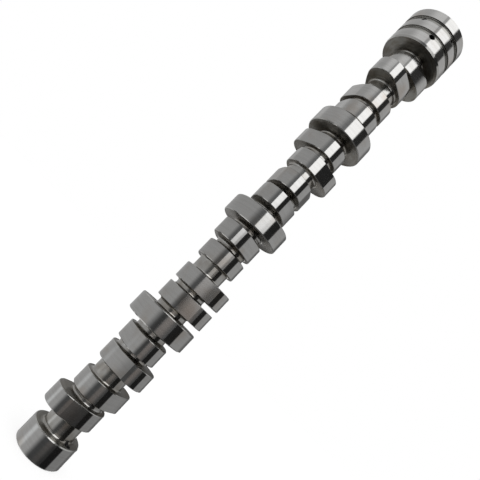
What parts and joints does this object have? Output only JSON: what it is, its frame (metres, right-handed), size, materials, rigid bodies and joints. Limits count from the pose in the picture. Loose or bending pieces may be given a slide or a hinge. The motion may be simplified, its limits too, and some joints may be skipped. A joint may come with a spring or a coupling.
{
  "type": "camshaft",
  "caption": "One-piece steel camshaft with turned bearing journals, ground cam lobes and a wide front journal that has phaser oil grooves.",
  "frame": {"origin": "centre of the rear face, on the shaft's axis", "axes": "+Z runs along the shaft's axis from the rear face to the front face, which carries the cam phaser; the intake-exhaust middle of the front left cylinder points along +X"},
  "size_m": [0.0606, 0.0606, 0.5032],
  "materials": {
    "ground_steel": "ground journals and lobes with darker turned necks and side faces"
  },
  "bodies": {
    "root": {"camshaft": "ground_steel"}
  },
  "joints": []
}
